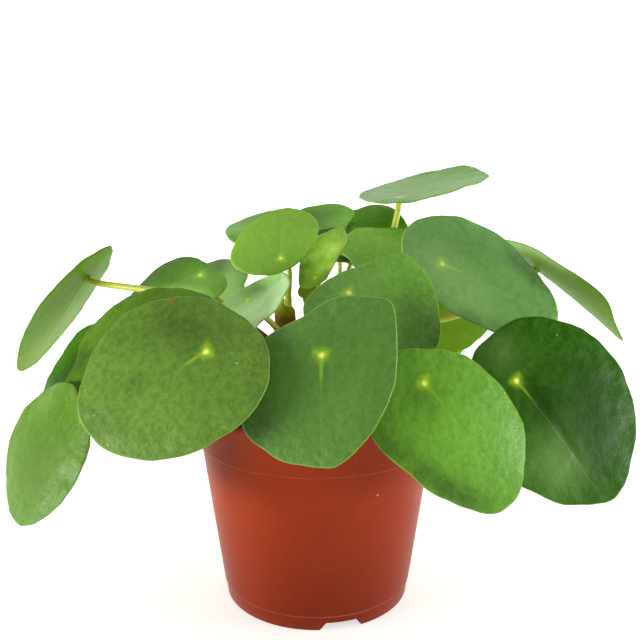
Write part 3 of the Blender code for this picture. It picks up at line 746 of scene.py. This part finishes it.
def stalk_radii(spec, points):
    """The stalk's radius at each of its points: wider where it leaves the bark and under the blade."""
    own = 0.85 + 0.011 * spec["size"][0]
    bark = trunk_radius(spec["root"])
    radii = []
    for index, place in enumerate(points):
        t = min(index / STALK_STEPS, 1.0)
        out = (place - trunk_axis(spec["root"])).length - bark
        foot = 0.55 * math.exp(-(max(out, 0.0) / 4.0) ** 2)
        left = (points[-1] - place).length
        flare = 0.5 * math.exp(-(left / 1.6) ** 2)
        radii.append(own * (1.15 - 0.25 * t + foot + flare))
    return radii


def build_leaf(name, spec, seed, materials):
    verts, faces, places, upper, shade_sheen_tail = blade_mesh(spec, seed)
    points = stalk_points(spec, STALK_STEPS)
    line, rings = tube(points, stalk_radii(spec, points), STALK_SIDES)
    count = len(verts)
    all_verts = np.concatenate((verts, np.array(line)))
    all_faces = faces + [tuple(i + count for i in face) for face in rings]
    slots = [0] * len(faces) + [1] * len(rings)
    piece = add_piece("leaf_" + name, all_verts, all_faces, materials, slots)
    way = np.repeat(np.minimum(np.arange(len(points)) / STALK_STEPS, 1.0), STALK_SIDES)
    stalk = np.stack((way, np.zeros_like(way), np.zeros_like(way)), 1)
    store(piece, "leaf_place", np.concatenate((places, stalk)))
    facts = np.zeros((len(all_verts), 3))
    facts[:, 0] = spec["size"][0]
    facts[:, 1] = seed
    facts[:count, 2] = upper
    store(piece, "leaf_facts", facts)
    store(piece, "leaf_shade_sheen_tail", np.concatenate((shade_sheen_tail, stalk * 0.0)))
    finish_piece(piece, "young_leaf_green" if name.startswith("young") else "leaf_green", "leaf_" + name)


def build_leaves():
    pattern = leaf_pattern()
    blades = {look: leaf_material(look, pattern) for look in LOOKS}
    old = stalk_material("leaf_stalk", (122, 76, 32), (138, 146, 42))
    # the young stalks are yellow-green, and their colours are made lighter as painted light shining through
    # them
    young = stalk_material("young_stalk", (176, 184, 48), (188, 204, 66))
    for index, (name, spec) in enumerate(LEAVES.items()):
        spec["name"] = name
        spec["trim"] = TRIMS.get(name, ())
        random.seed(100 + index)
        stalk = young if name.startswith("young") else old
        build_leaf(name, spec, 1.0 + index * 0.37, [blades[spec["look"]], stalk])


# ---- trunk ----

def trunk_material():
    """Brown bark, redder at the right and green at its tip."""
    material, t, shader = new_material("trunk_bark", 0.6, 0.08)
    where = t.place()
    side, _, height = t.split(where)
    rough = t.noise(where, 260.0, 5.0, 0.65)
    patch = t.noise(where, 90.0, 3.0)
    colour = t.mix(t.step(rough, 0.4, 0.65), srgb(66, 42, 6), srgb(100, 74, 12))
    colour = t.mix(t.step(patch, 0.4, 0.6, 0.2, 0.8), colour, srgb(96, 84, 8))
    colour = t.mix(t.step(side, -0.0165, -0.0105, 0.0, 0.75), colour, srgb(112, 52, 12))
    colour = t.mix(t.step(height, 0.136, 0.1445, 0.0, 0.9), colour, srgb(150, 156, 36))
    dress(t, shader, colour, 0.7, 0.0008, rough)
    return material


def build_trunk():
    """The trunk with the scars of fallen leaves."""
    random.seed(7)
    scars = [(random.uniform(80.0, 132.0), random.uniform(-math.pi, math.pi)) for _ in range(34)]
    verts = []
    for row in range(TRUNK_ROWS):
        level = TRUNK_FOOT + (TRUNK_TOP - TRUNK_FOOT) * row / (TRUNK_ROWS - 1)
        middle = trunk_axis(level) - Vector((1.0 * float(smooth_step(100.0, 136.0, level)), 0.0, 0.0))
        for k in range(TRUNK_SIDES):
            turn = math.tau * k / TRUNK_SIDES
            radius = bark_radius(level)
            for scar, side in scars:
                off = abs((turn - side + math.pi) % math.tau - math.pi)
                radius += 0.55 * math.exp(-((level - scar) / 1.3) ** 2 - (off / 0.45) ** 2)
            ridge = Vector((math.cos(turn) * 1.6, math.sin(turn) * 1.6, level / 2.6))
            radius += 0.35 * noise.noise(ridge)
            if row in (0, TRUNK_ROWS - 1):
                radius *= 0.6
            verts.append(middle + Vector((math.cos(turn), math.sin(turn), 0.0)) * radius)
    piece = add_piece("trunk_stem", verts, skin(TRUNK_SIDES, TRUNK_ROWS), [trunk_material()])
    finish_piece(piece, "trunk_bark", "trunk")


# ---- potting mix ----

def soil_material():
    material, t, shader = new_material("potting_mix", 0.95, 0.25)
    where = t.place()
    crumbs = t.noise(where, 330.0, 6.0, 0.7)
    patch = t.noise(where, 60.0, 3.0)
    colour = t.mix(t.step(crumbs, 0.38, 0.68), srgb(34, 24, 17), srgb(84, 62, 44))
    colour = t.mix(t.step(patch, 0.5, 0.7, 0.0, 0.5), colour, srgb(58, 44, 32))
    dress(t, shader, colour, 1.0, 0.0012, crumbs)
    return material


def soil_body():
    """The mix without its crumbs: a bumpy top, sides within the wall and a base."""
    verts = [Vector((0.0, 0.0, SOIL + 0.6))]
    faces = []
    for ring in range(1, SOIL_RINGS + 1):
        for k in range(SOIL_SIDES):
            turn = math.tau * k / SOIL_SIDES
            out = SOIL_RADIUS * ring / SOIL_RINGS
            x, y = out * math.cos(turn), out * math.sin(turn)
            z = SOIL + 0.6 - 1.5 * (ring / SOIL_RINGS) ** 3
            z += 1.0 * noise.noise(Vector((x / 11.0, y / 11.0, 3.0)))
            z += 0.8 * abs(noise.noise(Vector((x / 3.6, y / 3.6, 8.0))))
            z += 0.5 * noise.noise(Vector((x / 1.6, y / 1.6, 5.0)))
            verts.append(Vector((x, y, min(z, SOIL + 1.1))))
    for k in range(SOIL_SIDES):
        n = (k + 1) % SOIL_SIDES
        faces.append((0, 1 + k, 1 + n))
        for ring in range(SOIL_RINGS - 1):
            a, b = 1 + ring * SOIL_SIDES, 1 + (ring + 1) * SOIL_SIDES
            faces.append((a + k, b + k, b + n, a + n))
    edge = 1 + (SOIL_RINGS - 1) * SOIL_SIDES
    for z, out in ((80.2, 55.0), (78.6, 54.2), (8.2, 44.4), (6.2, 43.0)):
        start = len(verts)
        for k in range(SOIL_SIDES):
            turn = math.tau * k / SOIL_SIDES
            verts.append(Vector((out * math.cos(turn), out * math.sin(turn), z)))
        for k in range(SOIL_SIDES):
            n = (k + 1) % SOIL_SIDES
            faces.append((edge + k, start + k, start + n, edge + n))
        edge = start
    faces.append(tuple(reversed(range(edge, edge + SOIL_SIDES))))
    return verts, faces


def add_crumbs(verts, faces):
    """Adds flattened lumps, strewn over the mix and clear of the trunk."""
    lump = bmesh.new()
    bmesh.ops.create_icosphere(lump, subdivisions=1, radius=1.0)
    shape = [v.co.copy() for v in lump.verts]
    sides = [tuple(v.index for v in f.verts) for f in lump.faces]
    lump.free()
    for _ in range(CRUMBS):
        base = len(verts)
        turn = random.uniform(0.0, math.tau)
        out = SOIL_RADIUS * math.sqrt(random.uniform(0.02, 0.98))
        size = random.uniform(0.5, 1.5) ** 1.4
        level = SOIL + 0.35 - 1.4 * (out / SOIL_RADIUS) ** 3
        place = Vector((out * math.cos(turn), out * math.sin(turn), level))
        if (place - trunk_axis(SOIL)).xy.length < 8.0:
            continue
        spin = Vector([random.uniform(-1.0, 1.0) for _ in range(3)]).normalized()
        squeeze = random.uniform(0.5, 0.8)
        for co in shape:
            point = co * size * (1.0 + 0.35 * noise.noise(co * 1.7 + spin * 9.0))
            point -= spin * point.dot(spin) * (1.0 - squeeze)
            verts.append(place + point)
        faces.extend(tuple(i + base for i in side) for side in sides)


def build_soil():
    random.seed(11)
    verts, faces = soil_body()
    add_crumbs(verts, faces)
    piece = add_piece("soil_surface", verts, faces, [soil_material()])
    finish_piece(piece, "potting_soil", "soil")


# ---- pot ----

def wall_radius(height):
    stations = ((0.0, FOOT_RADIUS), (STEP_HEIGHT, STEP_RADIUS), (COLLAR_BOTTOM, WALL_TOP_RADIUS),
                (COLLAR_BOTTOM + 0.4, COLLAR_RADIUS), (POT_HEIGHT, RIM_RADIUS))
    for (low, r_low), (high, r_high) in zip(stations, stations[1:]):
        if height <= high:
            return r_low + (r_high - r_low) * (height - low) / (high - low)
    return RIM_RADIUS


def offsets(radius, height, pairs):
    """Points of the profile, each so much further out and higher than a radius and a height."""
    return [(radius + out, height + up) for out, up in pairs]


def pot_profile():
    """The pot's section, up the inside, over the rim and down to the foot."""
    floor_top = FLOOR_HEIGHT + WALL
    inner = [(0.0, floor_top), (wall_radius(floor_top) - WALL - 0.8, floor_top),
             (wall_radius(floor_top + 2.0) - WALL, floor_top + 2.0),
             (WALL_TOP_RADIUS - WALL, COLLAR_BOTTOM + 0.5),
             (COLLAR_RADIUS - WALL + 0.1, COLLAR_BOTTOM + 1.8)]
    rim = offsets(RIM_RADIUS, POT_HEIGHT, (
        (-WALL - 0.3, -1.6), (-WALL - 0.1, -0.7), (-WALL + 0.25, -0.1), (-0.6, 0.0), (-0.15, -0.2),
        (0.08, -0.7), (0.1, -2.0), (-0.1, -2.6)))
    rim.append((wall_radius(POT_HEIGHT - 3.2), POT_HEIGHT - 3.2))
    collar = offsets(COLLAR_RADIUS, COLLAR_BOTTOM, ((0.12, 1.2), (0.0, 0.5), (-0.3, 0.15)))
    wall = offsets(WALL_TOP_RADIUS, COLLAR_BOTTOM, ((0.0, 0.0), (-0.1, -0.6)))
    step = offsets(STEP_RADIUS, STEP_HEIGHT, ((0.12, 0.8), (0.0, 0.0), (-0.25, -0.3), (-0.5, -0.4),
                                              (-0.62, -0.9)))
    foot = offsets(FOOT_RADIUS, 0.0, ((0.06, 0.4), (-0.15, 0.06), (-0.3, 0.0), (-WALL, 0.0)))
    under = [(FOOT_RADIUS - WALL + 0.3, FLOOR_HEIGHT - 0.6),
             (FOOT_RADIUS - WALL - 0.6, FLOOR_HEIGHT), (0.0, FLOOR_HEIGHT)]
    return inner + rim + collar + wall + step + foot + under


def cut(piece, name, shape, place, turn=0.0):
    """Cuts a bmesh shape out of a piece, at a place in millimetres and turned about the vertical."""
    mesh = bpy.data.meshes.new(name)
    shape.to_mesh(mesh)
    shape.free()
    cutter = new_object(name, mesh)
    cutter.location = [value * MM for value in place]
    cutter.rotation_euler = (0.0, 0.0, turn)
    modifier = piece.modifiers.new("Cut", "BOOLEAN")
    modifier.operation = "DIFFERENCE"
    modifier.solver = "EXACT"
    modifier.object = cutter
    bpy.context.view_layer.update()
    graph = bpy.context.evaluated_depsgraph_get()
    result = bpy.data.meshes.new_from_object(piece.evaluated_get(graph))
    piece.modifiers.clear()
    piece.data = result
    bpy.data.objects.remove(cutter)


def pot_material():
    material, t, shader = new_material("terracotta_plastic", 0.34, 0.05)
    shader.inputs["Sheen Weight"].default_value = 0.12
    shader.inputs["Sheen Roughness"].default_value = 0.4
    where = t.place()
    height = t.split(where)[2]
    cloud = t.noise(where, 22.0, 3.0)
    grain = t.noise(where, 900.0, 2.0)
    colour = t.mix(t.step(cloud, 0.35, 0.7), srgb(125, 40, 12), srgb(132, 44, 14))
    colour = t.mix(t.step(grain, 0.5, 0.8, 0.0, 0.08), colour, srgb(196, 104, 70))
    speck = t.specks(where, 70.0, 0.86, 0.02, 0.045)
    colour = t.mix(t.times(speck, 0.6), colour, srgb(222, 150, 112))
    # lighter lines along the step and the collar's lower edge: painted highlights where the ledges catch
    # the light, with some wear
    lines = [t.step(t.absolute(t.minus(height, level)), 0.0002, 0.0006, strength, 0.0)
             for level, strength in ((0.0071, 0.55), (0.0782, 0.12))]
    # painted highlight and wear along the two edges
    wear_and_highlight = t.times(t.math("MAXIMUM", *lines), t.step(t.noise(where, 60.0, 3.0), 0.35, 0.65, 0.1, 0.7))
    colour = t.mix(wear_and_highlight, colour, srgb(214, 112, 62))
    # painted shade: the pot grows darker towards its foot
    colour = t.mix(t.step(height, 0.0, 0.07, 0.55, 0.0), colour, srgb(88, 18, 0))
    dress(t, shader, colour, 0.12, 0.0002, grain)
    t.put(shader.inputs["Roughness"], t.step(cloud, 0.3, 0.7, 0.34, 0.42))
    return material


def turned(profile, around):
    """A profile of (radius, height) turned about the pot's axis."""
    verts, faces, starts = [], [], []
    for radius, height in profile:
        starts.append(len(verts))
        if radius == 0.0:
            verts.append((0.0, 0.0, height))
            continue
        for k in range(around):
            turn = math.tau * k / around
            verts.append((radius * math.cos(turn), radius * math.sin(turn), height))
    for index in range(len(profile) - 1):
        a, b = starts[index], starts[index + 1]
        for k in range(around):
            n = (k + 1) % around
            if profile[index][0] == 0.0:
                faces.append((a, b + k, b + n))
            elif profile[index + 1][0] == 0.0:
                faces.append((a + k, b, a + n))
            else:
                faces.append((a + k, b + k, b + n, a + n))
    return verts, faces


def build_pot():
    piece = add_piece("nursery_pot", *turned(pot_profile(), POT_SIDES), [])
    for azimuth in NOTCH_AZIMUTHS:
        # a block through the foot ring, narrower at its top
        shape = bmesh.new()
        bmesh.ops.create_cube(shape, size=1.0)
        for vert in shape.verts:
            narrow = 0.68 if vert.co.z > 0 else 1.1
            vert.co.x *= 12.0 * MM
            vert.co.y *= NOTCH_WIDTH * narrow * MM
            vert.co.z = (NOTCH_HEIGHT if vert.co.z > 0 else -2.0) * MM
        turn = math.radians(azimuth)
        cut(piece, "notch", shape, (FOOT_RADIUS * math.cos(turn), FOOT_RADIUS * math.sin(turn), 0.0), turn)
    for index in range(DRAIN_HOLES):
        turn = math.tau * (index + 0.5) / DRAIN_HOLES
        shape = bmesh.new()
        bmesh.ops.create_cone(shape, cap_ends=True, segments=24, radius1=DRAIN_HOLE_RADIUS * MM,
                              radius2=DRAIN_HOLE_RADIUS * MM, depth=8.0 * MM)
        cut(piece, "drain", shape, (DRAIN_CIRCLE_RADIUS * math.cos(turn),
                                    DRAIN_CIRCLE_RADIUS * math.sin(turn), FLOOR_HEIGHT + 0.6))
    piece.data.materials.clear()
    piece.data.materials.append(pot_material())
    piece.data.shade_smooth()
    piece.data.set_sharp_from_angle(angle=math.radians(32.0))
    finish_piece(piece, "terracotta_plastic", "pot")


# ---- stage, light and camera, in metres ----

CAMERA_PLACE = (0.0016, -0.385, 0.212)
CAMERA_DIP = 11.2  # degrees
CAMERA_LENS = 46.125


def build_stage():
    """A floor that curves up into a wall behind the plant, brighter towards the wall."""
    material, t, shader = new_material("pale_floor", 0.8, 0.1)
    shader.inputs["Base Color"].default_value = (0.76, 0.76, 0.76, 1.0)
    shader.inputs["Emission Color"].default_value = (1.0, 1.0, 1.0, 1.0)
    depth = t.split(t.place())[1]
    t.put(shader.inputs["Emission Strength"], t.step(depth, 0.1, 0.9, 0.62, 0.98))
    outline = [(-1.6, 0.0), (1.2, 0.0)]
    outline += [(1.2 + 0.5 * math.sin(a * math.pi / 24), 0.5 - 0.5 * math.cos(a * math.pi / 24))
                for a in range(1, 13)]
    outline += [(1.7, 2.2)]
    verts = []
    for y, z in outline:
        verts += [(-2500.0, y * 1000.0, z * 1000.0), (2500.0, y * 1000.0, z * 1000.0)]
    faces = [(2 * i, 2 * i + 1, 2 * i + 3, 2 * i + 2) for i in range(len(outline) - 1)]
    floor = add_piece("floor", verts, faces, [material])


def area_light(name, place, aim, size, power):
    light = bpy.data.lights.new(name, "AREA")
    light.shape = "RECTANGLE"
    light.size, light.size_y = size
    light.energy = power
    lamp = new_object(name, light)
    lamp.location = place
    lamp.rotation_euler = (Vector(aim) - Vector(place)).to_track_quat("-Z", "Y").to_euler()


def light_and_camera():
    scene = bpy.context.scene
    world = bpy.data.worlds.new("studio")
    world.use_nodes = True
    back = world.node_tree.nodes["Background"]
    back.inputs["Color"].default_value = (1.0, 1.0, 1.0, 1.0)
    back.inputs["Strength"].default_value = 0.2
    scene.world = world
    area_light("softbox_top", (0.0, -0.25, 1.15), (0.0, 0.0, 0.1), (1.2, 1.0), 6.5)
    area_light("softbox_left", (-1.0, -0.4, 0.09), (0.0, 0.0, 0.08), (0.6, 0.16), 16.0)
    area_light("softbox_right", (1.1, -0.15, 0.09), (0.0, 0.0, 0.08), (0.6, 0.16), 15.5)
    camera = bpy.data.cameras.new("camera")
    camera.lens = CAMERA_LENS
    camera.sensor_width = 36.0
    camera.clip_start = 0.01
    scene.camera = new_object("camera", camera)
    scene.camera.location = CAMERA_PLACE
    scene.camera.rotation_euler = (math.radians(90.0 - CAMERA_DIP), 0.0, 0.0)
    scene.view_settings.view_transform = "Standard"


light_and_camera()
build_stage()
build_leaves()
build_trunk()
build_soil()
build_pot()
